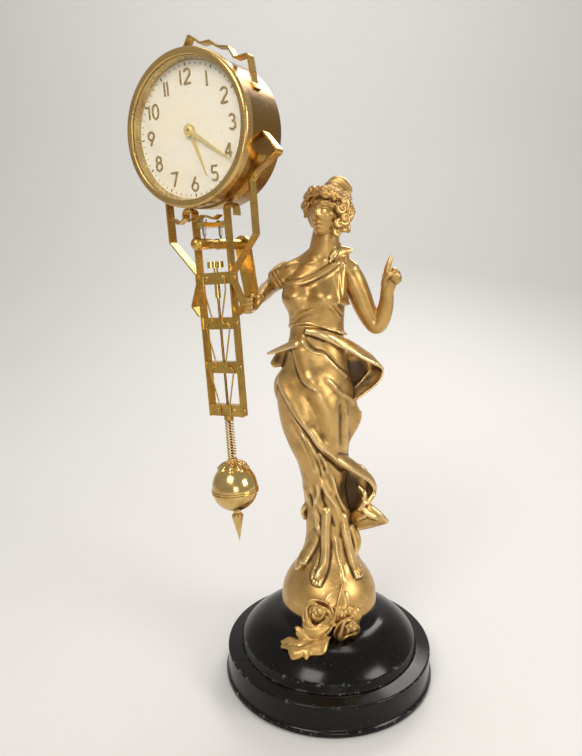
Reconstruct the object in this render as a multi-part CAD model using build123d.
from build123d import *
import math
import os

# Swinging-arm clock held out by a cast figure on a turned black base.
# Millimetres. Origin under the middle of the base, +Z up, the dial faces -Y.

# Fits
RUN = 0.05          # radial clearance round a turning shaft
SLIDE = 0.08        # radial clearance round a sliding rod
PLAY = 0.3          # space between pieces that move past each other
LOOSE = 0.25        # radial clearance round a fixed bolt or stud

# Base: felt, lower disc and upper disc of turned wood, one tie rod
FELT_INSET = 5.3
FELT_T = 1.5
PLINTH_FOOT_R = 107.3
PLINTH_FOOT_H = 4.0
PLINTH_STEP = 2.3
PLINTH_WALL_H = 29.2
PLINTH_EDGE_ROUND = 1.2
LEDGE_W = 13.3
LEDGE_RISE = 2.3
DOME_TAPER = 3.0
DOME_WALL_H = 8.3
DOME_RISE = 23.5
DOME_BULGE = 4.0
DOME_RIM = 1.0
TIE_R = 3.0
TIE_HEAD_ROOM_R = 13.0
TIE_HEAD_ROOM_H = 12.0
TIE_NUT_FLATS = 10.0
TIE_NUT_H = 5.0
TIE_TAIL = 2.0
TIE_BITE = 16.0

# Cast globe under the figure's feet
GLOBE_R = 48.5
GLOBE_SIT = 15.0    # height of the globe's centre above the flat it stands on
GLOBE_WALL = 3.0

# Figure, in its own frame: its front faces -Y, heights count from the globe's centre
FIGURE_TURN = 29.5
CAST_WALL = 3.5
CAVITY_FLOOR = 70.0
CAVITY_TOP = 305.0
# height, middle x, middle y, half width, half depth of each level of gown, torso and neck
BODY_LEVELS = [
    (27.0, 0.0, 2.0, 38.0, 33.0),
    (46.0, 0.5, 3.0, 30.5, 27.0),
    (68.0, 0.0, 4.0, 24.5, 23.0),
    (96.0, -2.5, 4.0, 22.5, 22.0),
    (124.0, -5.5, 4.0, 22.0, 22.0),
    (144.0, -7.5, 3.0, 25.0, 23.5),
    (163.0, -12.0, 2.0, 29.5, 25.5),
    (181.0, -13.4, 2.0, 35.0, 28.0),
    (200.0, -13.4, 2.0, 39.5, 30.0),
    (217.0, -15.5, 2.0, 38.5, 30.0),
    (235.0, -16.5, 2.0, 33.5, 27.5),
    (254.0, -14.5, 2.0, 28.5, 24.0),
    (278.0, -15.0, 2.0, 26.0, 20.5),
    (297.0, -14.5, 1.0, 27.5, 21.5),
    (312.0, -16.0, -1.0, 29.5, 24.0),
    (324.0, -15.5, 1.0, 31.0, 20.5),
    (336.0, -13.5, 3.0, 30.0, 15.5),
    (344.0, -10.5, 3.0, 18.0, 12.5),
    (352.0, -8.5, 2.0, 12.0, 11.0),
    (361.0, -7.5, 0.5, 11.0, 11.0),
]
# points (x, y, height) along each limb with the radius there
RIGHT_LEG = [(-7.0, -15.0, 94.0, 5.6), (-7.5, -19.0, 66.0, 5.4),
             (-10.0, -24.0, 48.0, 5.8), (-14.0, -33.0, 35.0, 4.6)]
LEFT_LEG = [(12.0, -12.0, 90.0, 5.6), (18.5, -14.0, 62.0, 5.4),
            (22.5, -15.0, 47.0, 5.6), (29.0, -21.0, 35.0, 4.4)]
CLOTH_ENDS = [
    [(24.0, -2.0, 84.0, 5.5), (31.0, -5.0, 68.0, 4.8), (33.0, -6.0, 57.0, 3.6)],
    [(-16.0, -4.0, 78.0, 6.5), (-26.0, -7.0, 58.0, 5.0), (-33.0, -9.0, 45.0, 4.0)],
]
LEFT_ARM = [(20.0, 3.0, 328.0, 11.0), (31.0, 6.0, 300.0, 10.0), (41.0, 9.0, 279.0, 8.0),
            (47.0, 2.0, 297.0, 8.0), (51.0, -6.0, 314.0, 5.6), (53.0, -9.0, 326.0, 7.2)]
LEFT_FINGER = [(52.5, -10.0, 328.0, 3.2), (53.0, -11.0, 347.0, 2.0)]
RIGHT_ARM = [(-41.0, 1.0, 331.0, 9.8), (-51.0, 17.0, 324.0, 9.2), (-58.0, 30.0, 318.0, 7.8),
             (-65.0, 4.0, 312.0, 7.4), (-70.0, -17.0, 307.5, 5.4)]
HAND_R = 8.0
# raised forms on the front of the gown: points (x, height), their roundness, and how far they stand out
RELIEF = [
    ([(-47.0, 224.0), (-33.5, 196.0), (-10.0, 166.0), (18.0, 140.0)], 5.4, 3.6),
    ([(-29.0, 275.0), (-7.0, 257.0), (13.0, 232.0)], 4.6, 2.2),
    ([(-38.0, 277.0), (-15.0, 278.0), (7.0, 268.0)], 4.5, 2.4),
    ([(-29.0, 214.0), (-12.0, 180.0)], 13.0, 4.0),
    ([(-36.0, 166.0), (-24.0, 110.0)], 3.8, 2.2),
    ([(-20.0, 152.0), (-11.0, 100.0)], 3.8, 2.4),
    ([(-4.0, 132.0), (11.0, 88.0)], 3.8, 2.4),
    ([(-6.0, 338.0), (-34.0, 323.0)], 3.8, 2.2),
    ([(-34.0, 312.0), (-33.0, 309.0)], 13.0, 4.0),
    ([(-9.0, 311.0), (-9.5, 308.5)], 13.0, 4.0),
]
# wings of drapery: root and tip (x, y, height), half height and half depth at each
WINGS = [
    ((8.0, 2.0, 238.0), (47.0, 0.0, 234.0), (25.0, 15.0), (6.0, 5.5)),
    ((-37.0, 2.0, 255.0), (-61.0, 1.0, 255.0), (9.0, 8.0), (3.0, 3.0)),
    ((8.0, 2.0, 138.0), (42.0, -1.0, 124.0), (18.0, 15.0), (7.5, 6.0)),
    ((12.0, 4.0, 104.0), (55.0, 1.0, 85.0), (22.0, 14.0), (8.5, 6.0)),
]
# the same five values for each level of the head, hair and knot of hair
HEAD_LEVELS = [
    (361.0, -7.5, -2.0, 11.0, 12.5),
    (366.0, -7.5, -2.5, 12.5, 16.0),
    (376.0, -6.5, -0.5, 16.0, 19.5),
    (386.0, -5.5, 1.5, 19.0, 21.5),
    (395.0, -4.5, 3.0, 19.5, 21.0),
    (402.0, -2.5, 3.5, 17.0, 17.0),
    (407.0, 1.5, 3.5, 13.5, 11.5),
    (412.0, 3.0, 3.0, 10.5, 8.5),
    (416.5, 3.0, 3.0, 5.0, 4.0),
]

# Rose spray on the front of the globe, in the figure's frame
ROSES = [((-15.0, -50.0, 5.0), 13.5), ((13.0, -52.0, -9.0), 12.0)]
LEAF_AT = (-25.0, -58.0, -16.0)
LEAF_L = 21.0
LEAF_W = 13.0
LEAF_T = 5.0
LEAF_SPREAD = 55.0
STEM_R = 3.5

# Pivot of the swinging clock and the turned arm that carries it
PIVOT = (-55.5, -111.0, 440.0)
REST_LEAN = 4.6     # the stopped clock hangs this far off plumb, its bob towards +X
ARM_R = 4.4
ARM_WAIST_R = 3.8
ARM_WAIST_L = 10.0
ARM_BALL_R = 5.2
ARM_FRONT = 21.0    # from the pivot forward to the ball
ARM_BACK = 41.0     # from the pivot back to the bracket plate
ARM_SPIGOT_R = 3.0
DIMPLE_DEPTH = 1.4
PIN_GAP = 0.3       # the pin's point floats this far above the bottom of its dimple
PLATE_T = 4.0
PLATE_TOP_R = 7.6
PLATE_MID = (7.8, -38.0, 13.2)    # x and z from the arm's axis, and the width there
PLATE_FOOT = (8.2, -56.0, 8.5)
ARM_SCREW_HEAD_R = 4.2
ARM_SCREW_HEAD_H = 2.0
ARM_SCREW_R = 1.6
ARM_SCREW_BITE = 12.0

# Swinging frame, in the clock's plumb frame: origin at the pivot, Y to the back
FRAME_W = 34.0
BAR_T = 1.6
BAR_D = 8.5
BAR_TOP = 22.0
BAR_FOOT = -147.0
CURL_R = 4.6
CURL_TAIL = 5.0
BLOCK_H = 9.6
BLOCK_D = 7.0
BLOCK_LEVELS = [-31.0, -68.0, -105.0, -142.0]
BUSH_R = 4.0
BUSH_H = 4.0
BRIDGE_Z = 10.0
BRIDGE_T = 3.5
BRIDGE_W = 7.0
PIN_SPREAD = 22.0
PIN_R = 1.5
PIN_POINT_L = 4.0
PIN_HEAD_R = 2.8
PIN_HEAD_H = 2.4
STRAP_T = 1.4
STRAP_D = 9.0
BEND_R = 2.0
STRAP_ELBOW = (42.0, 1.0)
STRAP_KNEE_Z = -27.0
STRAP_CALF = (7.3, -53.0)      # out from the strap on the bar, and height
STRAP_TOE = (0.9, -61.5)
STRAP_SHOULDER_OUT = 15.06     # out from the cradle
STRAP_SHOULDER_AT = 71.27
CRADLE_T = 1.2
CRADLE_D = 10.0
CRADLE_SPAN = 66.0
STRAP_AT = 50.0     # where the strap crosses the cradle, in degrees from the bottom
STRAP_FLAT = 9.0
STRAP_TIP_AT = 82.0
ZIGZAG_T = 1.0
ZIGZAG_D = 7.0
ZIGZAG = [(-32.0, 19.5), (-26.0, 14.5), (-18.8, 19.0), (-9.0, 15.4), (-1.5, 19.5), (9.0, 15.4),
          (14.2, 18.0)]
CREST_T = 1.3
CREST_D = 8.5
CREST_Y = 2.0
CREST_FOOT = 40.0
CREST_TURN = 20.0
CREST = [(-24.0, 17.0), (-16.0, 9.0), (-8.0, 10.0), (-2.0, 6.5), (7.5, 8.0), (16.0, 3.0), (24.0, 11.0)]
CREST_FOOT_L = 5.0
SCREW_HEAD_R = 2.0
SCREW_HEAD_H = 1.3
SCREW_R = 0.9
SCREW_BITE = 4.0
SCREW_SLOT = 0.5
WIRE_R = 0.65
WIRE_OUT = 12.2
WIRE_IN = 5.4
WIRE_BEND = 1.6
WIRE_SCREW_X = 8.3
WIRE_DROP = 3.0

# Clock head, in the clock frame with its centre above the pivot
HEAD_LIFT = 24.6    # the cradle's lowest point above the pivot
CASE_R = 56.6
CASE_WALL = 1.0
CASE_FRONT = -20.5
CASE_DEPTH = 45.5
CASE_LEDGE = 2.5
BEZEL_OUT = 1.4     # the bezel's rim beyond the case
BEZEL_LAP = 3.0
BEZEL_NOSE = 5.5
BEZEL_COVER = 4.6   # from the case's outside in to the bezel's opening
BEZEL_LIP = 1.6
BEZEL_ROUND = 2.6
GLASS_LAP = 2.2     # the glass behind the bezel's lip
GLASS_T = 1.5
REFLECT_FLANGE_T = 1.0
REFLECT_DEPTH = 5.2
REFLECT_WALL = 0.8
REFLECT_SLOPE = 1.8
DIAL_T = 0.8
DIAL_FEET_R = 1.5
DIAL_FEET_AT = 33.0
NUMERAL_INSET = 10.9    # from the dial's seen edge in to the middles of the numbers
NUMERAL_H = 10.5
NUMERAL_W = 6.4
NUMERAL_STROKE = 1.5
NUMERAL_T = 0.6
NUMERAL_GAP = 1.6
BACK_T = 1.6
BACK_ROUND = 2.5
BACK_SPIGOT_H = 3.0
HOUR = 5
MINUTE = 21
MINUTE_HAND_SHORT = 5.2    # from the dial's seen edge in to the hand's tip
HOUR_HAND_SHORT = 13.2
HAND_W = 3.6
HAND_HUB_R = 4.6
HAND_T = 0.6
HAND_TIP_W = 0.5
HAND_NUT_R = 2.6
HAND_NUT_H = 0.9

# Movement, measured from the head's centre
PLATE_R = 42.0
MOVE_PLATE_T = 1.5
MOVE_FRONT = -7.0
MOVE_DEPTH = 20.5
PILLAR_R = 2.2
PILLAR_AT = 38.0
PRESSURE = 20.0
ADDENDUM = 0.72
DEDENDUM = 1.1
BACKLASH = 0.1
ARBOR_R = 1.2
WHEEL_T = 1.2
TRAIN_M = 0.5
GREAT_M = 0.7
MOTION_M = 0.6
PINION_Z = 12
GREAT_Z = 64
CENTRE_Z = 64
THIRD_Z = 60
CANNON_Z = 12
MINUTE_WHEEL_Z = 36
MINUTE_PINION_Z = 10
HOUR_WHEEL_Z = 40
BARREL_ANGLE = 225.0
THIRD_ANGLE = 60.0
ESCAPE_ANGLE = 20.0
MINUTE_WHEEL_ANGLE = 300.0
ESCAPE_Z = 15
ESCAPE_R = 9.0
ESCAPE_TOOTH = 2.0
ANCHOR_AT = 13.5
ANCHOR_ANGLE = 122.0
ANCHOR_T = 1.2
ANCHOR_W = 2.2
BARREL_R = 20.0
BARREL_WALL = 1.2
BARREL_H = 9.0
BARREL_ARBOR_R = 3.0
SPRING_T = 0.7
SPRING_TURNS = 6.5
KEY_BOSS_R = 3.6
KEY_WING_R = 6.0
KEY_WING_T = 2.0
KEY_STAND = 3.0
KEY_BOSS_H = 9.0
KNOB_R = 5.0
KNOB_H = 4.0
KNOB_STAND = 2.0
INNER_ROD_R = 0.9
INNER_ROD_L = 54.0
INNER_BOB_R = 8.0
INNER_BOB_T = 4.0
CANNON_TUBE_R = 2.1
HOUR_TUBE_R = 3.2

# Rating rod, spring and bob
ROD_R = 1.1
NUT_R = 6.7
NUT_H = 5.0
NUT_TOP = -17.5
NUT_KNURLS = 40
NUT_KNURL_DEPTH = 0.35
NECK_R = 1.8
SLEEVE_R = 2.3
SLEEVE_L = 11.0
ROD_BITE = 9.0
BOB_MID = -213.0
BOB_R = 19.8
BOB_UP = 25.0
BOB_DOWN = 18.5
EGG_SHOULDER = 0.72
BOB_WALL = 1.2
BAND_R = 20.6
BAND_H = 1.6
BAND_GROOVE = 0.5
WEIGHT_GAP = 0.4
CAP_T = 0.8
CAP_R = 13.5
CAP_PETALS = 8
CAP_NECK_R = 4.2
CAP_NECK_H = 3.5
COIL_R = 3.4
COIL_WIRE_R = 0.62
COIL_TURNS = 11
FINIAL_NECK_R = 3.9
FINIAL_NECK_H = 5.0
FINIAL_SEAT = 1.0
FINIAL_COLLAR_R = 5.1
FINIAL_COLLAR_H = 3.5
FINIAL_CONE_R = 4.5
FINIAL_CONE_L = 21.0

# Levels worked out from the sizes above
plinth_edge_r = PLINTH_FOOT_R - PLINTH_STEP
dome_foot_r = plinth_edge_r - LEDGE_W
dome_edge_r = dome_foot_r - DOME_TAPER
plinth_edge_z = FELT_T + PLINTH_WALL_H
ledge_z = plinth_edge_z + LEDGE_RISE
dome_edge_z = ledge_z + DOME_WALL_H
dome_top_z = dome_edge_z + DOME_RISE
globe_z = dome_top_z + GLOBE_SIT
globe_foot_r = math.sqrt(GLOBE_R ** 2 - GLOBE_SIT ** 2)
dome_top_r = globe_foot_r + DOME_RIM
arm_drop = ARM_R - DIMPLE_DEPTH + PIN_GAP       # the arm's axis below the pivot
case_back = CASE_FRONT + CASE_DEPTH
bezel_front = CASE_FRONT - BEZEL_NOSE
glass_front = bezel_front + BEZEL_LIP
glass_back = glass_front + GLASS_T
dial_front = CASE_FRONT - REFLECT_FLANGE_T + REFLECT_DEPTH
dial_back = dial_front + DIAL_T
cover_back = case_back + BACK_ROUND
move_back = MOVE_FRONT + MOVE_DEPTH
inner_front = MOVE_FRONT + MOVE_PLATE_T
inner_back = move_back - MOVE_PLATE_T
bar_x = (FRAME_W - BAR_T) / 2
block_w = FRAME_W - 2 * BAR_T
cradle_r = CASE_R + CRADLE_T
head_z = cradle_r + HEAD_LIFT
bezel_r = CASE_R + BEZEL_OUT
bezel_open_r = CASE_R - BEZEL_COVER
glass_r = bezel_open_r + GLASS_LAP
dial_seen_r = bezel_open_r - REFLECT_SLOPE


# Helpers

def at(point):
    """A location at a point."""
    return Pos(*point)


def rod_y(radius, start, end, x=0.0, z=0.0):
    """A round bar along Y."""
    return Pos(x, (start + end) / 2, z) * Rot(90, 0, 0) * Cylinder(radius, abs(end - start))


def rod_z(radius, start, end, x=0.0, y=0.0):
    """A round bar along Z."""
    return Pos(x, y, (start + end) / 2) * Cylinder(radius, abs(end - start))


def turned(points, axis):
    """A closed outline of (radius, place along the axis) turned about Y or Z."""
    face = make_face(Polyline(*points, close=True))
    if axis == Axis.Z:
        face = Rot(90, 0, 0) * face
    return revolve(face, axis)


def strip(path, thick, depth, y=0.0):
    """A flat strip stood on edge: a path drawn in X and Z, thickened and carried along Y."""
    return Pos(0, y, 0) * Rot(90, 0, 0) * extrude(trace(path, thick), depth / 2, both=True)


def flat_y(face, front, back):
    """A face drawn in X and Z, carried along Y from front to back."""
    return Pos(0, back, 0) * Rot(90, 0, 0) * extrude(face, back - front)


def polar(radius, degrees):
    """X and Z of a point on a circle, in degrees from +X towards +Z."""
    return (radius * math.cos(math.radians(degrees)), radius * math.sin(math.radians(degrees)))


def hang(shape):
    """From the clock's plumb frame to where it hangs at rest."""
    return Pos(*PIVOT) * Rot(0, -REST_LEAN, 0) * shape


def on_head(shape):
    """From the clock head's frame to where it hangs at rest."""
    return hang(Pos(0, 0, head_z) * shape)


def in_figure(shape):
    """From the figure's frame to its place on the globe."""
    return Pos(0, 0, globe_z) * Rot(0, 0, FIGURE_TURN) * shape


def limb(joints):
    """Round tapering links through joints of (x, y, z, radius)."""
    body = at(joints[0][:3]) * Sphere(joints[0][3])
    for (x0, y0, z0, r0), (x1, y1, z1, r1) in zip(joints, joints[1:]):
        run = Vector(x1 - x0, y1 - y0, z1 - z0)
        middle = Vector(x0, y0, z0) + run * 0.5
        link = Cylinder(r0, run.length) if r0 == r1 else Cone(r0, r1, run.length)
        body += Plane(origin=middle, z_dir=run).location * link
        body += Pos(x1, y1, z1) * Sphere(r1)
    return body


def screw(point, out):
    """A round-headed slotted screw at a point, its head standing out along a direction."""
    head = Cylinder(SCREW_HEAD_R, SCREW_HEAD_H, align=(Align.CENTER, Align.CENTER, Align.MIN))
    head = fillet(head.edges().group_by(Axis.Z)[-1], SCREW_HEAD_H / 2)
    slot = Pos(0, 0, SCREW_HEAD_H) * Box(3 * SCREW_HEAD_R, SCREW_SLOT, SCREW_HEAD_H)
    shank = Cylinder(SCREW_R, SCREW_BITE, align=(Align.CENTER, Align.CENTER, Align.MAX))
    return Plane(origin=point, z_dir=out).location * (head - slot + shank)


def screw_hole(point, out):
    """The hole that a screw's shank goes into."""
    shank = Cylinder(SCREW_R, SCREW_BITE, align=(Align.CENTER, Align.CENTER, Align.MAX))
    return Plane(origin=point, z_dir=out).location * shank


def gear_face(teeth, module):
    """Involute teeth, three points to a flank, one tooth centred on +X."""
    pitch = teeth * module / 2
    tip = pitch + ADDENDUM * module
    root = pitch - DEDENDUM * module
    pressure = math.radians(PRESSURE)
    base = pitch * math.cos(pressure)
    half = math.pi / (2 * teeth) - BACKLASH / (2 * pitch)

    def flank(radius):
        angle = math.acos(min(1.0, base / radius))
        return half + (math.tan(pressure) - pressure) - (math.tan(angle) - angle)

    start = max(base, root)
    levels = [(root, flank(start)), (start, flank(start)), (pitch, flank(pitch)), (tip, flank(tip))]
    if base <= root:
        levels = levels[1:]
    points = []
    for tooth in range(teeth):
        middle = 2 * math.pi * tooth / teeth
        for radius, angle in levels:
            points.append(polar(radius, math.degrees(middle - angle)))
        for radius, angle in reversed(levels):
            points.append(polar(radius, math.degrees(middle + angle)))
    return make_face(Polyline(*points, close=True))


def gear(teeth, module, front, thick, place, turn):
    """A spur gear about Y at a place (x, z), with a tooth on the direction turn."""
    face = Rot(0, 0, turn) * gear_face(teeth, module)
    return Pos(place[0], 0, place[1]) * flat_y(face, front, front + thick)


def mesh_turn(direction, teeth):
    """The turn that puts a gap of the driven gear on the line back to its driver."""
    return direction + 180.0 + 180.0 / teeth


def gear_reach(teeth_a, teeth_b, module):
    """Distance between the axes of two gears in mesh."""
    return (teeth_a + teeth_b) * module / 2


# Places of the movement's arbors, from the head's centre
barrel_at = polar(gear_reach(GREAT_Z, PINION_Z, GREAT_M), BARREL_ANGLE)
third_at = polar(gear_reach(CENTRE_Z, PINION_Z, TRAIN_M), THIRD_ANGLE)
escape_step = polar(gear_reach(THIRD_Z, PINION_Z, TRAIN_M), ESCAPE_ANGLE)
escape_at = (third_at[0] + escape_step[0], third_at[1] + escape_step[1])
anchor_step = polar(ANCHOR_AT, ANCHOR_ANGLE)
anchor_at = (escape_at[0] + anchor_step[0], escape_at[1] + anchor_step[1])
motion_reach = gear_reach(CANNON_Z, MINUTE_WHEEL_Z, MOTION_M)
minute_wheel_at = polar(motion_reach, MINUTE_WHEEL_ANGLE)
HOUR_M = 2 * motion_reach / (HOUR_WHEEL_Z + MINUTE_PINION_Z)

# Layers of the movement along Y
centre_wheel_y = inner_front + 1.0
great_wheel_y = centre_wheel_y + WHEEL_T + 2.0
barrel_back_y = great_wheel_y + WHEEL_T + BARREL_H
third_wheel_y = great_wheel_y + 5.0
escape_wheel_y = inner_back - 3.0
minute_wheel_y = MOVE_FRONT - PLAY - WHEEL_T
hour_wheel_y = minute_wheel_y - 1.0 - WHEEL_T
hour_hand_y = dial_front - NUMERAL_T - PLAY - HAND_T
minute_hand_y = hour_hand_y - 0.8 - HAND_T
inner_rod_y = move_back + 3.0
bearing_l = MOVE_PLATE_T


# Stand

def make_felt_pad():
    return rod_z(PLINTH_FOOT_R - FELT_INSET, 0, FELT_T)


def make_base_plinth():
    outline = [
        (TIE_R + LOOSE, FELT_T + TIE_HEAD_ROOM_H), (TIE_HEAD_ROOM_R, FELT_T + TIE_HEAD_ROOM_H),
        (TIE_HEAD_ROOM_R, FELT_T), (PLINTH_FOOT_R, FELT_T), (PLINTH_FOOT_R, FELT_T + PLINTH_FOOT_H),
        (plinth_edge_r, FELT_T + PLINTH_FOOT_H + PLINTH_STEP), (plinth_edge_r, plinth_edge_z),
        (dome_foot_r, ledge_z), (TIE_R + LOOSE, ledge_z),
    ]
    body = turned(outline, Axis.Z)
    rim = body.edges().filter_by(GeomType.CIRCLE).sort_by(
        lambda edge: abs(edge.center().Z - plinth_edge_z) + abs(edge.radius - plinth_edge_r))[0]
    return fillet(rim, PLINTH_EDGE_ROUND)


def make_base_dome():
    seat = Polyline((dome_top_r, dome_top_z), (TIE_R + LOOSE, dome_top_z), (TIE_R + LOOSE, ledge_z),
                    (dome_foot_r, ledge_z), (dome_edge_r, dome_edge_z))
    crown = SagittaArc((dome_edge_r, dome_edge_z), (dome_top_r, dome_top_z), -DOME_BULGE)
    return revolve(Rot(90, 0, 0) * make_face(seat + crown), Axis.Z)


def tie_nut_top():
    return FELT_T + TIE_HEAD_ROOM_H


def make_tie_rod():
    return rod_z(TIE_R, tie_nut_top() - TIE_NUT_H - TIE_TAIL, globe_z + GLOBE_R + TIE_BITE)


def make_tie_nut():
    hexagon = RegularPolygon(TIE_NUT_FLATS / 2, 6, major_radius=False)
    nut = extrude(hexagon - Circle(TIE_R + RUN), TIE_NUT_H)
    return Pos(0, 0, tie_nut_top() - TIE_NUT_H) * nut


def globe_ball():
    return Pos(0, 0, globe_z) * Sphere(GLOBE_R)


def make_globe_mound():
    shell = globe_ball() - Pos(0, 0, globe_z) * Sphere(GLOBE_R - GLOBE_WALL)
    below = Pos(0, 0, dome_top_z) * Box(3 * GLOBE_R, 3 * GLOBE_R, 3 * GLOBE_R,
                                        align=(Align.CENTER, Align.CENTER, Align.MAX))
    return shell - below - rod_z(TIE_R + LOOSE, globe_z, globe_z + 2 * GLOBE_R)


def level_loft(levels, wall=0.0):
    """A skin through upright levels, each an ellipse drawn in by a wall."""
    sections = []
    for height, x, y, half_w, half_d in levels:
        sections.append(Pos(x, y, height) * Ellipse(half_w - wall, half_d - wall))
    return loft(sections)


def body_cavity():
    """The hollow of the casting, between its floor and its top."""
    inside = [level for level in BODY_LEVELS if CAVITY_FLOOR <= level[0] <= CAVITY_TOP]
    return level_loft(inside, CAST_WALL)


def wing(root, tip, root_half, tip_half):
    """A flying end of drapery between two upright ellipses."""
    along = Vector(*tip) - Vector(*root)
    sections = []
    for point, (half_h, half_d) in ((root, root_half), (tip, tip_half)):
        plane = Plane(origin=point, x_dir=(0, 1, 0), z_dir=(along.X, 0, along.Z))
        sections.append(plane * Ellipse(half_d, half_h))
    return loft(sections)


def gown_front(x, height):
    """Y of the gown's front at a place, between the two levels around it."""
    for low, high in zip(BODY_LEVELS, BODY_LEVELS[1:]):
        if low[0] <= height <= high[0]:
            share = (height - low[0]) / (high[0] - low[0])
            _, middle_x, middle_y, half_w, half_d = [a + (b - a) * share for a, b in zip(low, high)]
    reach = min(1.0, abs(x - middle_x) / half_w)
    return middle_y - half_d * math.sqrt(1 - reach ** 2)


def make_figure_body():
    body = level_loft(BODY_LEVELS)
    for root, tip, root_half, tip_half in WINGS:
        body += wing(root, tip, root_half, tip_half)
    for points in (RIGHT_LEG, LEFT_LEG, *CLOTH_ENDS):
        body += limb(points)
    for points, radius, out in RELIEF:
        body += limb([(x, gown_front(x, height) + radius - out, height, radius) for x, height in points])
    body = in_figure(body - body_cavity())
    return body - globe_ball() - make_tie_rod()


def make_figure_head():
    return in_figure(level_loft(HEAD_LEVELS))


def make_left_arm(body):
    return in_figure(limb(LEFT_ARM) + limb(LEFT_FINGER)) - body


def plate_point(spot):
    """A place on the bracket plate, from the arm's axis, in the clock's frame."""
    return (PIVOT[0] + spot[0], PIVOT[2] - arm_drop + spot[1])


plate_y = PIVOT[1] + ARM_BACK


def make_bracket_plate():
    foot_x, foot_z = plate_point(PLATE_FOOT)
    mid_x, mid_z = plate_point(PLATE_MID)
    eye_x, eye_z = plate_point((0.0, 0.0))
    outline = Polyline(
        (eye_x - PLATE_TOP_R, eye_z), (mid_x - PLATE_MID[2] / 2, mid_z), (foot_x - PLATE_FOOT[2] / 2, foot_z),
        (foot_x + PLATE_FOOT[2] / 2, foot_z), (mid_x + PLATE_MID[2] / 2, mid_z), (eye_x + PLATE_TOP_R, eye_z),
        close=True)
    face = make_face(outline) + Pos(eye_x, eye_z) * Circle(PLATE_TOP_R)
    face -= Pos(eye_x, eye_z) * Circle(ARM_SPIGOT_R)
    return flat_y(face, plate_y, plate_y + PLATE_T)


def make_right_arm(body, plate):
    foot_x, foot_z = plate_point(PLATE_FOOT)
    hand = Rot(0, 0, -FIGURE_TURN) * Pos(foot_x, plate_y + PLATE_T / 2, foot_z - globe_z)
    palm = (hand.position.X, hand.position.Y, hand.position.Z, HAND_R)
    return in_figure(limb(RIGHT_ARM + [palm])) - body - plate


def make_support_arm():
    front, back = -ARM_FRONT, ARM_BACK
    waist = ARM_WAIST_L / 2
    body = rod_y(ARM_R, front, back)
    body -= rod_y(2 * ARM_R, -waist, waist) - rod_y(ARM_WAIST_R, -waist, waist)
    body += Pos(0, front, 0) * Sphere(ARM_BALL_R)
    body += rod_y(ARM_SPIGOT_R, back, back + PLATE_T)
    body -= rod_y(ARM_SCREW_R, back + PLATE_T - ARM_SCREW_BITE, back + PLATE_T)
    for side in (-1, 1):
        dimple = Cone(0, DIMPLE_DEPTH, DIMPLE_DEPTH, align=(Align.CENTER, Align.CENTER, Align.MIN))
        body -= Pos(0, side * PIN_SPREAD / 2, ARM_R - DIMPLE_DEPTH) * dimple
    return Pos(PIVOT[0], PIVOT[1], PIVOT[2] - arm_drop) * body


def make_arm_screw():
    back = ARM_BACK + PLATE_T
    head = rod_y(ARM_SCREW_HEAD_R, back, back + ARM_SCREW_HEAD_H)
    shank = rod_y(ARM_SCREW_R, back - ARM_SCREW_BITE, back)
    slot = Pos(0, back + ARM_SCREW_HEAD_H, 0) * Box(3 * ARM_SCREW_HEAD_R, ARM_SCREW_HEAD_H, SCREW_SLOT * 2)
    return Pos(PIVOT[0], PIVOT[1], PIVOT[2] - arm_drop) * (head + shank - slot)


def make_rose_spray(dome):
    spray = None
    for centre, radius in ROSES:
        outward = Vector(*centre)
        cup = Torus(radius * 0.66, radius * 0.34) + Sphere(radius * 0.62)
        bloom = Plane(origin=centre, z_dir=outward).location * cup
        spray = bloom if spray is None else spray + bloom
    blade = SagittaArc((0, 0), (LEAF_L, 0), LEAF_W / 2) + SagittaArc((LEAF_L, 0), (0, 0), LEAF_W / 2)
    leaf = extrude(make_face(blade), LEAF_T / 2, both=True)
    lie = Plane(origin=LEAF_AT, x_dir=(-1, -0.45, -0.55), z_dir=(-0.35, -0.75, 0.6)).location
    for turn in (-LEAF_SPREAD, 0.0, LEAF_SPREAD):
        spray += lie * Rot(0, 0, turn) * leaf
    spray += limb([(*ROSES[0][0], STEM_R), (*LEAF_AT, STEM_R)])
    spray += limb([(*ROSES[0][0], STEM_R), (*ROSES[1][0], STEM_R)])
    return in_figure(spray) - globe_ball() - dome


# Swinging frame

def make_side_bar(side):
    top = BAR_TOP
    path = Line((bar_x, BAR_FOOT), (bar_x, top))
    path += CenterArc((bar_x + CURL_R, top), CURL_R, 180, -180)
    path += Line((bar_x + 2 * CURL_R, top), (bar_x + 2 * CURL_R, top - CURL_TAIL))
    bar = strip(path, BAR_T, BAR_D)
    if side < 0:
        bar = Rot(0, 0, 180) * bar
    for point, out in bar_screws(side):
        bar -= screw_hole(point, out)
    return hang(bar)


def bar_screws(side):
    """Screws through one side bar into the ends of the blocks, the strap under the top one."""
    places = []
    for index, level in enumerate(BLOCK_LEVELS):
        reach = FRAME_W / 2 + (STRAP_T if index == 0 else 0.0)
        places.append(((side * reach, 0, level), (side, 0, 0)))
    return places


def make_cross_blocks():
    blocks = []
    for index, level in enumerate(BLOCK_LEVELS):
        block = Pos(0, 0, level) * Box(block_w, BLOCK_D, BLOCK_H)
        hole = NECK_R + RUN if index == 0 else ROD_R + SLIDE
        if index == len(BLOCK_LEVELS) - 1:
            block += rod_z(BUSH_R, level - BLOCK_H / 2 - BUSH_H, level - BLOCK_H / 2)
        block -= rod_z(hole, level - BLOCK_H - BUSH_H, level + BLOCK_H)
        for side in (-1, 1):
            for point, out in bar_screws(side):
                block -= screw_hole(point, out)
        for point, out in wire_screws():
            block -= screw_hole(point, out)
        blocks.append(hang(block))
    return Compound(children=blocks)


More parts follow.
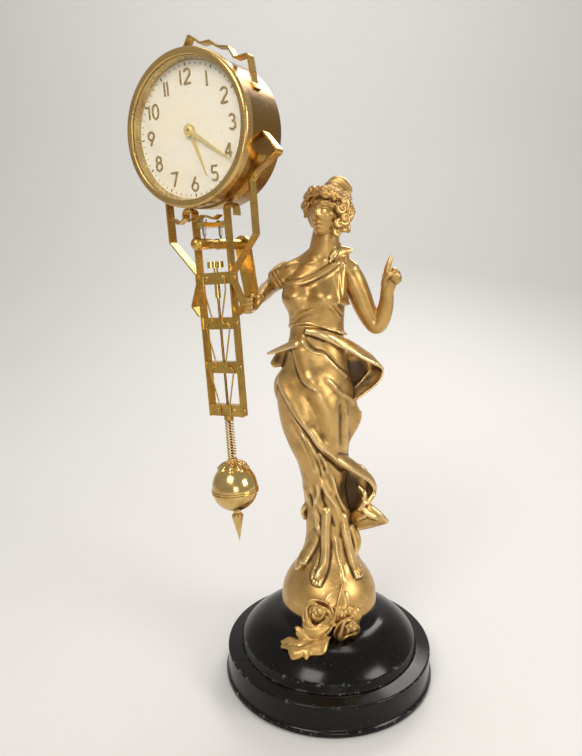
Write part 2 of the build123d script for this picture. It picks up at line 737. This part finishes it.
def wire_screws():
    """Screws in the front of the top and bottom blocks, which pin the wires' ends."""
    front = -BLOCK_D / 2
    places = []
    for level in (BLOCK_LEVELS[0], BLOCK_LEVELS[-1]):
        for side in (-1, 1):
            places.append(((side * WIRE_SCREW_X, front, level), (0, -1, 0)))
    return places


def make_frame_screws():
    screws = [screw(point, out) for side in (-1, 1) for point, out in bar_screws(side)]
    screws += [screw(point, out) for point, out in wire_screws()]
    screws += [screw(point, out) for point, out in strap_screws()]
    return Compound(children=[hang(piece) for piece in screws])


def make_scroll_wires():
    """Two bent wires on the fronts of the blocks, drawn in at each block and out again below it."""
    y = -BLOCK_D / 2 - WIRE_R
    top, bottom = BLOCK_LEVELS[0], BLOCK_LEVELS[-1]
    start = WIRE_SCREW_X + SCREW_HEAD_R + WIRE_R
    points = [(start, top + WIRE_DROP / 2), (start, top - BLOCK_H)]
    for level in BLOCK_LEVELS[1:-1]:
        points += [(WIRE_IN, level + 2 * WIRE_DROP), (WIRE_IN, level - WIRE_DROP),
                   ((WIRE_IN + WIRE_OUT) / 2, level + WIRE_DROP / 2), (WIRE_OUT, level - WIRE_DROP)]
    points += [(WIRE_IN, bottom + 2 * WIRE_DROP), (WIRE_IN, bottom - WIRE_DROP)]
    wires = []
    for side in (-1, 1):
        route = FilletPolyline(*[(side * x, y, z) for x, z in points], radius=WIRE_BEND)
        section = Plane(origin=route @ 0, z_dir=route % 0) * Circle(WIRE_R)
        wires.append(hang(sweep(section, path=route)))
    return Compound(children=wires)


def make_pivot_bridge():
    level = BRIDGE_Z + BRIDGE_T / 2
    bridge = Pos(0, 0, level) * Box(block_w, BRIDGE_W, BRIDGE_T)
    bridge += Pos(0, 0, level) * Box(BRIDGE_W, PIN_SPREAD + BRIDGE_W, BRIDGE_T)
    for side in (-1, 1):
        bridge -= rod_z(PIN_R, BRIDGE_Z, BRIDGE_Z + BRIDGE_T, 0, side * PIN_SPREAD / 2)
    return hang(bridge)


def make_pivot_pins():
    pins = []
    for side in (-1, 1):
        y = side * PIN_SPREAD / 2
        point = Cone(0, PIN_R, PIN_POINT_L, align=(Align.CENTER, Align.CENTER, Align.MIN))
        pin = Pos(0, y, 0) * point + rod_z(PIN_R, PIN_POINT_L, BRIDGE_Z + BRIDGE_T, 0, y)
        pin += rod_z(PIN_HEAD_R, BRIDGE_Z + BRIDGE_T, BRIDGE_Z + BRIDGE_T + PIN_HEAD_H, 0, y)
        pins.append(hang(pin))
    return Compound(children=pins)


def around_head(radius, degrees, side):
    """X and Z of a point round the head's centre, in degrees from straight below it."""
    angle = math.radians(degrees)
    return (side * radius * math.sin(angle), head_z - radius * math.cos(angle))


def strap_seat(side):
    """The two ends of the flat where the strap lies on the cradle band, upper end first."""
    x, z = around_head(cradle_r + STRAP_T / 2, STRAP_AT, side)
    angle = math.radians(STRAP_AT)
    along = (side * STRAP_FLAT / 2 * math.cos(angle), STRAP_FLAT / 2 * math.sin(angle))
    return [(x + along[0], z + along[1]), (x - along[0], z - along[1])]


def strap_screws():
    places = []
    for side in (-1, 1):
        x, z = around_head(cradle_r + STRAP_T, STRAP_AT, side)
        out = Vector(x, 0, z - head_z)
        places.append(((x, 0, z), (out.X, 0, out.Z)))
    return places


def make_lyre_strap(side):
    inner = FRAME_W / 2 + STRAP_T / 2
    tip = around_head(CASE_R + STRAP_T / 2 + PLAY, STRAP_TIP_AT, side)
    points = [
        tip, around_head(cradle_r + STRAP_SHOULDER_OUT, STRAP_SHOULDER_AT, side), *strap_seat(side),
        (side * STRAP_ELBOW[0], STRAP_ELBOW[1]), (side * inner, STRAP_KNEE_Z),
        (side * inner, 2 * BLOCK_LEVELS[0] - STRAP_KNEE_Z),
        (side * (inner + STRAP_CALF[0]), STRAP_CALF[1]), (side * (inner + STRAP_TOE[0]), STRAP_TOE[1]),
    ]
    strap = strip(FilletPolyline(*points, radius=BEND_R), STRAP_T, STRAP_D)
    strap -= cradle_ring(cradle_r)
    for point, out in bar_screws(side)[:1] + strap_screws():
        strap -= screw_hole(point, out)
    return hang(strap)


def cradle_ring(radius):
    """A solid round the head's axis, used to keep pieces clear of the cradle band."""
    return rod_y(radius, -CRADLE_D, CRADLE_D, 0, head_z)


def make_cradle_band():
    arc = CenterArc((0, head_z), CASE_R + CRADLE_T / 2, 270 - CRADLE_SPAN, 2 * CRADLE_SPAN)
    band = strip(arc, CRADLE_T, CRADLE_D)
    for point, out in strap_screws():
        band -= screw_hole(point, out)
    return hang(band)


def make_zigzag_strip():
    return hang(strip(FilletPolyline(*ZIGZAG, radius=ZIGZAG_T), ZIGZAG_T, ZIGZAG_D, -(BAR_D + ZIGZAG_D) / 2))


def make_crest_strip():
    """A strip bent into peaks over the top of the drum, its feet lying on it."""
    def over(degrees, height):
        return polar(CASE_R + CREST_T / 2 + height, 90.0 - CREST_TURN - degrees)

    foot_turn = math.degrees(CREST_FOOT_L / CASE_R)
    points = [over(-CREST_FOOT - foot_turn, 0.15), over(-CREST_FOOT, 0.05)]
    points += [over(degrees, height) for degrees, height in CREST]
    points += [over(CREST_FOOT, 0.05), over(CREST_FOOT + foot_turn, 0.15)]
    band = strip(FilletPolyline(*points, radius=CREST_T), CREST_T, CREST_D, CREST_Y)
    return on_head(band - rod_y(CASE_R, -CREST_D, 2 * CREST_D))


# Clock head

def make_drum_case():
    inner = CASE_R - CASE_WALL
    outline = [
        (inner, CASE_FRONT), (CASE_R, CASE_FRONT), (CASE_R, case_back), (inner, case_back),
        (inner, dial_back + CASE_LEDGE), (inner - CASE_LEDGE, dial_back + CASE_LEDGE / 2),
        (inner - CASE_LEDGE, dial_back), (inner, dial_back),
    ]
    case = turned(outline, Axis.Y)
    for side in (-1, 1):
        x, z = around_head(cradle_r + STRAP_T, STRAP_AT, side)
        case -= screw_hole((x, 0, z - head_z), (x, 0, z - head_z))
    return on_head(case)


def bezel_nose(ring):
    """The round edges at the front of the bezel, the smallest first."""
    front = ring.edges().filter_by(GeomType.CIRCLE).filter_by(
        lambda edge: abs(edge.center().Y - bezel_front) < 1e-3)
    return front.sort_by(lambda edge: edge.radius)


def make_bezel():
    outer = CASE_R + RUN
    seat = glass_r + LOOSE
    outline = [
        (outer, CASE_FRONT + BEZEL_LAP), (bezel_r, CASE_FRONT + BEZEL_LAP), (bezel_r, bezel_front),
        (bezel_open_r, bezel_front), (bezel_open_r, glass_front), (seat, glass_front),
        (seat, CASE_FRONT - REFLECT_FLANGE_T), (outer, CASE_FRONT - REFLECT_FLANGE_T),
    ]
    ring = fillet(bezel_nose(turned(outline, Axis.Y))[-1], BEZEL_ROUND)
    return on_head(fillet(bezel_nose(ring)[0], BEZEL_LIP * 0.8))


def make_dial_glass():
    return on_head(rod_y(glass_r, glass_front, glass_back))


def make_reflector_ring():
    flange_front = CASE_FRONT - REFLECT_FLANGE_T
    outline = [
        (bezel_open_r, glass_back), (glass_r, glass_back), (glass_r, flange_front), (CASE_R, flange_front),
        (CASE_R, CASE_FRONT), (bezel_open_r + REFLECT_WALL, CASE_FRONT),
        (dial_seen_r + REFLECT_WALL, dial_front), (dial_seen_r, dial_front),
    ]
    return on_head(turned(outline, Axis.Y))


def make_dial():
    dial = rod_y(CASE_R - CASE_WALL - RUN, dial_front, dial_back)
    for turn in (90.0, 210.0, 330.0):
        x, z = polar(DIAL_FEET_AT, turn)
        dial += rod_y(DIAL_FEET_R, dial_back, MOVE_FRONT, x, z)
    return on_head(dial - rod_y(HOUR_TUBE_R + PLAY, dial_front, dial_back))


def polar_about(x, y, radius, degrees):
    """A point on a circle about (x, y)."""
    dx, dy = polar(radius, degrees)
    return (x + dx, y + dy)


def stroke(*lines):
    """Lines of a figure, each thickened to the width of a stroke."""
    face = trace(lines[0], NUMERAL_STROKE)
    for line in lines[1:]:
        face += trace(line, NUMERAL_STROKE)
    return face


def loop(y, half_w, half_h):
    """A closed loop of a figure, by its centre line's half sizes."""
    half = NUMERAL_STROKE / 2
    return Pos(0, y) * (Ellipse(half_w + half, half_h + half) - Ellipse(half_w - half, half_h - half))


def digit_face(digit):
    """A plain figure in a box one numeral wide and high."""
    w, h = NUMERAL_W / 2, NUMERAL_H / 2
    bowl = w * 0.92
    eye = h - bowl
    small, large = h * 0.46, h * 0.54
    if digit == "0":
        return loop(0, bowl, h)
    if digit == "1":
        return stroke(Line((0, -h), (0, h)))
    if digit == "2":
        return stroke(CenterArc((0, eye), bowl, 160, -200), Line(polar_about(0, eye, bowl, -40), (-w, -h)),
                      Line((-w, -h), (w, -h)))
    if digit == "3":
        return stroke(CenterArc((0, h - small), small, 150, -240), CenterArc((0, large - h), large, 90, -240))
    if digit == "4":
        return stroke(Line((w * 0.45, -h), (w * 0.45, h)), Line((w * 0.45, h), (-w, -h * 0.35)),
                      Line((-w, -h * 0.35), (w, -h * 0.35)))
    if digit == "5":
        return stroke(Polyline((w * 0.85, h), (-w * 0.7, h), (-w * 0.8, h * 0.12)),
                      CenterArc((-w * 0.05, bowl - h), bowl, 130, -270))
    if digit == "6":
        return loop(-eye, bowl, bowl) + stroke(Line((-bowl, -eye), (w * 0.35, h)))
    if digit == "7":
        return stroke(Polyline((-w, h), (w, h), (-w * 0.35, -h)))
    if digit == "8":
        return loop(h - small, small, small) + loop(large - h, large, large)
    return loop(eye, bowl, bowl) + stroke(Line((bowl, eye), (-w * 0.35, -h)))


def numeral_face(text):
    """The faces of one number, its figures side by side."""
    widths = [NUMERAL_STROKE if figure == "1" else NUMERAL_W + NUMERAL_STROKE for figure in text]
    total = sum(widths) + NUMERAL_GAP * (len(text) - 1)
    faces = []
    left = -total / 2
    for figure, width in zip(text, widths):
        faces.append(Pos(left + width / 2, 0) * digit_face(figure))
        left += width + NUMERAL_GAP
    return faces


def make_dial_numerals():
    pieces = []
    for hour in range(1, 13):
        x, z = polar(dial_seen_r - NUMERAL_INSET, 90.0 - 30.0 * hour)
        for face in numeral_face(str(hour)):
            pieces.append(on_head(flat_y(Pos(x, z) * face, dial_front - NUMERAL_T, dial_front)))
    return Compound(children=pieces)


def make_back_cover():
    inner = CASE_R - CASE_WALL - RUN
    outline = [
        (0, cover_back - BACK_T), (CASE_R - BACK_ROUND - BACK_T / 2, cover_back - BACK_T),
        (inner - BACK_T, case_back), (inner - BACK_T, case_back - BACK_SPIGOT_H),
        (inner, case_back - BACK_SPIGOT_H), (inner, case_back), (CASE_R, case_back),
        (CASE_R - BACK_ROUND, cover_back), (0, cover_back),
    ]
    cover = turned(outline, Axis.Y)
    cover -= rod_y(ARBOR_R + PLAY, case_back - BACK_SPIGOT_H, cover_back + BACK_T)
    cover -= rod_y(BARREL_ARBOR_R + PLAY, case_back - BACK_SPIGOT_H, cover_back + BACK_T, *barrel_at)
    return on_head(cover)


def move_plate(front, holes):
    plate = rod_y(PLATE_R, front, front + MOVE_PLATE_T)
    for place, radius in holes:
        plate -= rod_y(radius, front - bearing_l, front + 2 * bearing_l, *place)
    return plate


def arbor_holes():
    pivots = [((0.0, 0.0), ARBOR_R), (third_at, ARBOR_R), (escape_at, ARBOR_R), (anchor_at, ARBOR_R)]
    holes = [(place, radius + RUN) for place, radius in pivots]
    return holes + [(barrel_at, BARREL_ARBOR_R + RUN)]


def make_front_plate():
    plate = move_plate(MOVE_FRONT, arbor_holes())
    stud_end = hour_wheel_y - PLAY
    return on_head(plate + rod_y(ARBOR_R, stud_end, MOVE_FRONT, *minute_wheel_at))


def make_back_plate():
    return on_head(move_plate(move_back - MOVE_PLATE_T, arbor_holes()))


def make_movement_pillars():
    pillars = []
    for turn in (0.0, 105.0, 165.0, 285.0):
        x, z = polar(PILLAR_AT, turn)
        pillars.append(on_head(rod_y(PILLAR_R, inner_front, inner_back, x, z)))
    return Compound(children=pillars)


def make_centre_wheel():
    arbor = rod_y(ARBOR_R, minute_hand_y - HAND_NUT_H, cover_back + KNOB_STAND + KNOB_H)
    wheel = gear(CENTRE_Z, TRAIN_M, centre_wheel_y, WHEEL_T, (0.0, 0.0), THIRD_ANGLE)
    pinion = gear(PINION_Z, GREAT_M, great_wheel_y - 0.5, WHEEL_T + 1.0, (0.0, 0.0),
                  mesh_turn(BARREL_ANGLE + 180.0, PINION_Z))
    return on_head(arbor + wheel + pinion)


def make_cannon_pinion():
    pinion = gear(CANNON_Z, MOTION_M, minute_wheel_y, WHEEL_T, (0.0, 0.0), MINUTE_WHEEL_ANGLE)
    tube = rod_y(CANNON_TUBE_R, minute_hand_y + HAND_T, minute_wheel_y)
    return on_head(pinion + tube - rod_y(ARBOR_R, minute_hand_y, MOVE_FRONT))


def hand_blade(length, turn):
    """A lance-shaped hand: a ring and a blade that narrows to its tip."""
    outline = Polyline((0, -HAND_W / 2), (length * 0.16, -HAND_W / 2), (length, -HAND_TIP_W / 2),
                       (length, HAND_TIP_W / 2), (length * 0.16, HAND_W / 2), (0, HAND_W / 2), close=True)
    return Rot(0, 0, turn) * (make_face(outline) + Circle(HAND_HUB_R))


def minute_turn():
    return 90.0 - 6.0 * MINUTE


def hour_turn():
    return 90.0 - 30.0 * (HOUR + MINUTE / 60.0)


def make_minute_hand():
    face = hand_blade(dial_seen_r - MINUTE_HAND_SHORT, minute_turn()) - Circle(ARBOR_R)
    return on_head(flat_y(face, minute_hand_y, minute_hand_y + HAND_T))


def make_hand_nut():
    face = Circle(HAND_NUT_R) - Circle(ARBOR_R)
    return on_head(flat_y(face, minute_hand_y - HAND_NUT_H, minute_hand_y))


def make_hour_hand():
    face = hand_blade(dial_seen_r - HOUR_HAND_SHORT, hour_turn()) - Circle(HOUR_TUBE_R)
    return on_head(flat_y(face, hour_hand_y, hour_hand_y + HAND_T))


def make_hour_wheel():
    wheel = gear(HOUR_WHEEL_Z, HOUR_M, hour_wheel_y, WHEEL_T, (0.0, 0.0), mesh_turn(
        MINUTE_WHEEL_ANGLE + 180.0, HOUR_WHEEL_Z))
    tube = rod_y(HOUR_TUBE_R, hour_hand_y, hour_wheel_y)
    bore = rod_y(CANNON_TUBE_R + RUN, hour_hand_y, hour_wheel_y + WHEEL_T)
    return on_head(wheel + tube - bore)


def make_minute_wheel():
    wheel = gear(MINUTE_WHEEL_Z, MOTION_M, minute_wheel_y, WHEEL_T, minute_wheel_at,
                 mesh_turn(MINUTE_WHEEL_ANGLE, MINUTE_WHEEL_Z))
    pinion = gear(MINUTE_PINION_Z, HOUR_M, hour_wheel_y, minute_wheel_y - hour_wheel_y, minute_wheel_at,
                  MINUTE_WHEEL_ANGLE + 180.0)
    bore = rod_y(ARBOR_R + RUN, hour_wheel_y, MOVE_FRONT, *minute_wheel_at)
    return on_head(wheel + pinion - bore)


def make_set_knob():
    face = Circle(KNOB_R) - Circle(ARBOR_R)
    knob = flat_y(face, cover_back + KNOB_STAND, cover_back + KNOB_STAND + KNOB_H)
    return on_head(knob)


def make_barrel():
    wheel = gear(GREAT_Z, GREAT_M, great_wheel_y, WHEEL_T, barrel_at, BARREL_ANGLE + 180.0)
    drum = rod_y(BARREL_R, great_wheel_y + WHEEL_T, barrel_back_y, *barrel_at)
    drum -= rod_y(BARREL_R - BARREL_WALL, great_wheel_y + WHEEL_T, barrel_back_y - BARREL_WALL, *barrel_at)
    bore = rod_y(BARREL_ARBOR_R + RUN, great_wheel_y, barrel_back_y, *barrel_at)
    return on_head(wheel + drum - bore)


def make_mainspring():
    """A flat spiral between the arbor and the barrel's wall."""
    start = BARREL_ARBOR_R + PLAY + SPRING_T / 2
    end = BARREL_R - BARREL_WALL - PLAY - SPRING_T / 2
    steps = int(SPRING_TURNS * 4)
    pitch = (end - start) / steps
    path = None
    radius = start
    centre = (0.0, 0.0)
    angle = 0.0
    for step in range(steps):
        arc = CenterArc(centre, radius, angle, 90.0)
        path = arc if path is None else path + arc
        angle += 90.0
        grown = radius + pitch
        shift = polar(radius - grown, angle)
        centre = (centre[0] + shift[0], centre[1] + shift[1])
        radius = grown
    leaf = trace(path, SPRING_T)
    front = great_wheel_y + WHEEL_T + PLAY
    back = barrel_back_y - BARREL_WALL - PLAY
    return on_head(Pos(barrel_at[0], 0, barrel_at[1]) * flat_y(leaf, front, back))


def make_barrel_arbor():
    return on_head(rod_y(BARREL_ARBOR_R, MOVE_FRONT, cover_back + KEY_STAND + KEY_BOSS_H, *barrel_at))


def make_winding_key():
    start = cover_back + KEY_STAND
    key = rod_y(KEY_BOSS_R, start, start + KEY_BOSS_H)
    for side in (-1, 1):
        place = Pos(side * (KEY_BOSS_R + KEY_WING_R * 0.75), start + KEY_BOSS_H, 0)
        key += place * Rot(90, 0, 90) * Rot(0, 90, 0) * Cylinder(KEY_WING_R, KEY_WING_T)
    key -= rod_y(BARREL_ARBOR_R, start, start + KEY_BOSS_H)
    return on_head(Pos(barrel_at[0], 0, barrel_at[1]) * key)


def make_third_wheel():
    arbor = rod_y(ARBOR_R, MOVE_FRONT, move_back, *third_at)
    pinion = gear(PINION_Z, TRAIN_M, centre_wheel_y - 0.4, WHEEL_T + 0.8, third_at,
                  mesh_turn(THIRD_ANGLE, PINION_Z))
    wheel = gear(THIRD_Z, TRAIN_M, third_wheel_y, WHEEL_T, third_at, ESCAPE_ANGLE)
    return on_head(arbor + pinion + wheel)


def make_escape_wheel():
    arbor = rod_y(ARBOR_R, MOVE_FRONT, move_back, *escape_at)
    pinion = gear(PINION_Z, TRAIN_M, third_wheel_y - 0.4, WHEEL_T + 0.8, escape_at,
                  mesh_turn(ESCAPE_ANGLE, PINION_Z))
    points = []
    step = 360.0 / ESCAPE_Z
    for tooth in range(ESCAPE_Z):
        points.append(polar(ESCAPE_R, tooth * step))
        points.append(polar(ESCAPE_R - ESCAPE_TOOTH, tooth * step + step * 0.15))
        points.append(polar(ESCAPE_R - ESCAPE_TOOTH, tooth * step + step * 0.6))
    face = make_face(Polyline(*points, close=True))
    wheel = Pos(escape_at[0], 0, escape_at[1]) * flat_y(face, escape_wheel_y, escape_wheel_y + WHEEL_T)
    return on_head(arbor + pinion + wheel)


def make_pallet_anchor():
    """Two arms that reach down on both sides of the escape wheel, just clear of its teeth."""
    reach = ESCAPE_R + PLAY + ANCHOR_W
    back = ANCHOR_ANGLE + 180.0
    hub = (0.0, 0.0)
    wheel = polar(ANCHOR_AT, back)
    tips = [polar_about(wheel[0], wheel[1], reach, ANCHOR_ANGLE + swing) for swing in (-50.0, 50.0)]
    face = Circle(ARBOR_R * 2)
    for tip in tips:
        face += trace(Line(hub, tip), ANCHOR_W)
    face -= Circle(ARBOR_R)
    body = flat_y(face, escape_wheel_y, escape_wheel_y + ANCHOR_T)
    return on_head(Pos(anchor_at[0], 0, anchor_at[1]) * body)


def make_inner_pendulum():
    x, z = anchor_at
    arbor = rod_y(ARBOR_R, MOVE_FRONT, inner_rod_y + 2 * INNER_ROD_R, x, z)
    rod = rod_z(INNER_ROD_R, z - INNER_ROD_L, z - ARBOR_R / 2, x, inner_rod_y)
    bob = rod_y(INNER_BOB_R, inner_rod_y - INNER_BOB_T / 2, inner_rod_y + INNER_BOB_T / 2, x, z - INNER_ROD_L)
    return on_head(arbor + rod + bob)


# Rating rod, spring and bob

def make_rating_nut():
    points = []
    for index in range(2 * NUT_KNURLS):
        radius = NUT_R - (NUT_KNURL_DEPTH if index % 2 else 0.0)
        points.append(polar(radius, 180.0 * index / NUT_KNURLS))
    head = extrude(make_face(Polyline(*points, close=True)), NUT_H)
    block_under = BLOCK_LEVELS[0] - BLOCK_H / 2
    sleeve_top = block_under - PLAY
    nut = Pos(0, 0, NUT_TOP - NUT_H) * head
    nut += rod_z(NECK_R, sleeve_top, NUT_TOP - NUT_H)
    nut += rod_z(SLEEVE_R, sleeve_top - SLEEVE_L, sleeve_top)
    nut -= rod_z(ROD_R + RUN, sleeve_top - SLEEVE_L, sleeve_top - SLEEVE_L + ROD_BITE + PLAY + NUT_H)
    return hang(nut)


def rod_top():
    return BLOCK_LEVELS[0] - BLOCK_H / 2 - PLAY - SLEEVE_L + ROD_BITE


bob_top = BOB_MID + BOB_UP
bob_bottom = BOB_MID - BOB_DOWN
cap_top = bob_top + CAP_NECK_H
bush_foot = BLOCK_LEVELS[-1] - BLOCK_H / 2 - BUSH_H


def make_rating_rod():
    return hang(rod_z(ROD_R, bob_bottom - FINIAL_NECK_H, rod_top()))


def egg_point(radius, rise, x):
    """The point of a quarter ellipse at a distance from the bob's axis."""
    return (x, rise * math.sqrt(1 - (x / radius) ** 2))


def egg_arc(radius, rise):
    """The outline from the bob's middle level to the rod, as one arc through three points of an ellipse."""
    shoulder = egg_point(radius, rise, radius * EGG_SHOULDER)
    return ThreePointArc((radius, 0), shoulder, egg_point(radius, rise, ROD_R))


def half_egg(radius, rise, up):
    """Half of the bob, bored for the rod: the outline turned about Z on the bob's middle level."""
    arc = egg_arc(radius, rise)
    half = make_face(arc + Polyline(arc @ 1, (ROD_R, 0), (radius, 0)))
    egg = revolve(Rot(90, 0, 0) * half, Axis.Z)
    return Pos(0, 0, BOB_MID) * (egg if up else Rot(180, 0, 0) * egg)


def bob_bore():
    return rod_z(ROD_R, bob_bottom - 2 * BOB_R, cap_top + BOB_R)


def bob_shell(rise, up):
    """Half of the bob's hollow shell, with its ridge beside the joint groove."""
    inner_r = BOB_R - BOB_WALL
    sign = 1 if up else -1
    start, end = BOB_MID + sign * BAND_GROOVE, BOB_MID + sign * BAND_H
    shell = half_egg(BOB_R, rise, up) - half_egg(inner_r, rise - BOB_WALL, up)
    ridge = rod_z(BAND_R, start, end) - rod_z(inner_r, start, end)
    return hang(shell + ridge - bob_bore())


def make_bob_weight():
    inset = BOB_WALL + WEIGHT_GAP
    upper = egg_arc(BOB_R - inset, BOB_UP - inset)
    lower = mirror(egg_arc(BOB_R - inset, BOB_DOWN - inset), Plane.XZ)
    half = make_face(upper + lower + Line(upper @ 1, lower @ 1))
    return hang(Pos(0, 0, BOB_MID) * revolve(Rot(90, 0, 0) * half, Axis.Z))


def make_bob_leaf_cap():
    """A thin cap on the bob's crown, its rim cut into petals, with a neck under the spring."""
    cap = half_egg(BOB_R + CAP_T, BOB_UP + CAP_T, True) - half_egg(BOB_R, BOB_UP, True)
    petals = Circle(CAP_R * 0.72)
    for index in range(CAP_PETALS):
        petal = Pos(CAP_R * 0.62, 0) * Ellipse(CAP_R * 0.38, CAP_R * 0.24)
        petals += Rot(0, 0, 360.0 * index / CAP_PETALS) * petal
    cap = cap & Pos(0, 0, BOB_MID) * extrude(petals, 2 * BOB_UP)
    neck = rod_z(CAP_NECK_R, bob_top, cap_top) - half_egg(BOB_R, BOB_UP, True)
    return hang(cap + neck - bob_bore())


def make_bob_finial():
    neck_end = bob_bottom - FINIAL_NECK_H
    collar_end = neck_end - FINIAL_COLLAR_H
    outline = [
        (0, neck_end), (ROD_R, neck_end), (ROD_R, bob_bottom + FINIAL_SEAT),
        (FINIAL_NECK_R, bob_bottom + FINIAL_SEAT), (FINIAL_NECK_R * 0.8, (bob_bottom + neck_end) / 2),
        (FINIAL_COLLAR_R, neck_end),
        (FINIAL_COLLAR_R, neck_end - FINIAL_COLLAR_H / 2), (FINIAL_CONE_R, collar_end),
        (0, collar_end - FINIAL_CONE_L),
    ]
    return hang(turned(outline, Axis.Z) - half_egg(BOB_R, BOB_DOWN, False))


def biarc(start, start_way, end, end_way):
    """Two arcs that leave start and reach end along the given directions, smooth where they meet."""
    span = end - start
    ways = start_way + end_way
    a = 2 - 2 * start_way.dot(end_way)
    b = 2 * span.dot(ways)
    c = -span.dot(span)
    reach = (-b + math.sqrt(b * b - 4 * a * c)) / (2 * a)
    first = start + start_way * reach
    last = end - end_way * reach
    middle = (first + last) * 0.5
    return [Edge.make_tangent_arc(start, start_way, middle), Edge.make_tangent_arc(middle, last - first, end)]


def make_bob_spring():
    """One wire: a straight end, quarter turns of a helix as pairs of arcs, and a straight end."""
    top = bush_foot - PLAY
    foot = cap_top + PLAY
    straight = 2 * COIL_WIRE_R
    lead = COIL_R
    high = top - straight - lead
    low = foot + straight + lead
    quarters = COIL_TURNS * 4
    drop = (low - high) / quarters

    def place(step):
        x, y = polar(COIL_R, 90.0 * step)
        return Vector(x, y, high + drop * step)

    def way(step):
        x, y = polar(COIL_R * math.pi / 2, 90.0 * step + 90.0)
        return Vector(x, y, drop).normalized()

    down = Vector(0, 0, -1)
    x0, y0 = polar(COIL_R, -90.0)
    x1, y1 = polar(COIL_R, 90.0 * (quarters + 1))
    entry = Vector(x0, y0, top - straight)
    leave = Vector(x1, y1, foot + straight)
    edges = [Edge.make_line(entry - down * straight, entry)]
    edges += biarc(entry, down, place(0), way(0))
    for step in range(quarters):
        edges += biarc(place(step), way(step), place(step + 1), way(step + 1))
    edges += biarc(place(quarters), way(quarters), leave, down)
    edges.append(Edge.make_line(leave, leave + down * straight))
    route = Wire(edges)
    section = Plane(origin=route @ 0, z_dir=down) * Circle(COIL_WIRE_R)
    samples = [route @ (index / 2000) for index in range(2001)]
    step_l = route.length / 2000
    apart = int(math.pi * COIL_R / step_l)
    least = min((samples[i] - samples[j]).length for i in range(0, 2001, 4)
                for j in range(i + apart, 2001, 4)) - 2 * COIL_WIRE_R
    print("bob_spring least gap to itself", round(least, 2), "mm")
    return hang(sweep(section, path=route))


def build():
    """Every node of the clock by name."""
    globe = make_globe_mound()
    dome = make_base_dome()
    body = make_figure_body()
    plate = make_bracket_plate()
    return {
        "felt_pad": make_felt_pad(),
        "base_plinth": make_base_plinth(),
        "base_dome": dome,
        "tie_rod": make_tie_rod(),
        "tie_nut": make_tie_nut(),
        "globe_mound": globe,
        "rose_spray": make_rose_spray(dome),
        "figure_body": body,
        "figure_head": make_figure_head(),
        "figure_left_arm": make_left_arm(body),
        "figure_right_arm": make_right_arm(body, plate),
        "bracket_plate": plate,
        "support_arm": make_support_arm(),
        "arm_screw": make_arm_screw(),
        "side_bar_left": make_side_bar(-1),
        "side_bar_right": make_side_bar(1),
        "cross_blocks": make_cross_blocks(),
        "scroll_wires": make_scroll_wires(),
        "frame_screws": make_frame_screws(),
        "pivot_bridge": make_pivot_bridge(),
        "pivot_pins": make_pivot_pins(),
        "lyre_strap_left": make_lyre_strap(-1),
        "lyre_strap_right": make_lyre_strap(1),
        "cradle_band": make_cradle_band(),
        "zigzag_strip": make_zigzag_strip(),
        "crest_strip": make_crest_strip(),
        "drum_case": make_drum_case(),
        "bezel": make_bezel(),
        "dial_glass": make_dial_glass(),
        "reflector_ring": make_reflector_ring(),
        "dial": make_dial(),
        "dial_numerals": make_dial_numerals(),
        "back_cover": make_back_cover(),
        "front_plate": make_front_plate(),
        "back_plate": make_back_plate(),
        "movement_pillars": make_movement_pillars(),
        "centre_wheel": make_centre_wheel(),
        "cannon_pinion": make_cannon_pinion(),
        "minute_hand": make_minute_hand(),
        "hand_nut": make_hand_nut(),
        "set_knob": make_set_knob(),
        "hour_wheel": make_hour_wheel(),
        "hour_hand": make_hour_hand(),
        "minute_wheel": make_minute_wheel(),
        "barrel": make_barrel(),
        "mainspring": make_mainspring(),
        "barrel_arbor": make_barrel_arbor(),
        "winding_key": make_winding_key(),
        "third_wheel": make_third_wheel(),
        "escape_wheel": make_escape_wheel(),
        "pallet_anchor": make_pallet_anchor(),
        "inner_pendulum": make_inner_pendulum(),
        "rating_nut": make_rating_nut(),
        "rating_rod": make_rating_rod(),
        "bob_spring": make_bob_spring(),
        "bob_upper_shell": bob_shell(BOB_UP, True),
        "bob_lower_shell": bob_shell(BOB_DOWN, False),
        "bob_weight": make_bob_weight(),
        "bob_leaf_cap": make_bob_leaf_cap(),
        "bob_finial": make_bob_finial(),
    }


os.makedirs("parts", exist_ok=True)
for name, shape in build().items():
    export_step(shape, f"parts/{name}.step")
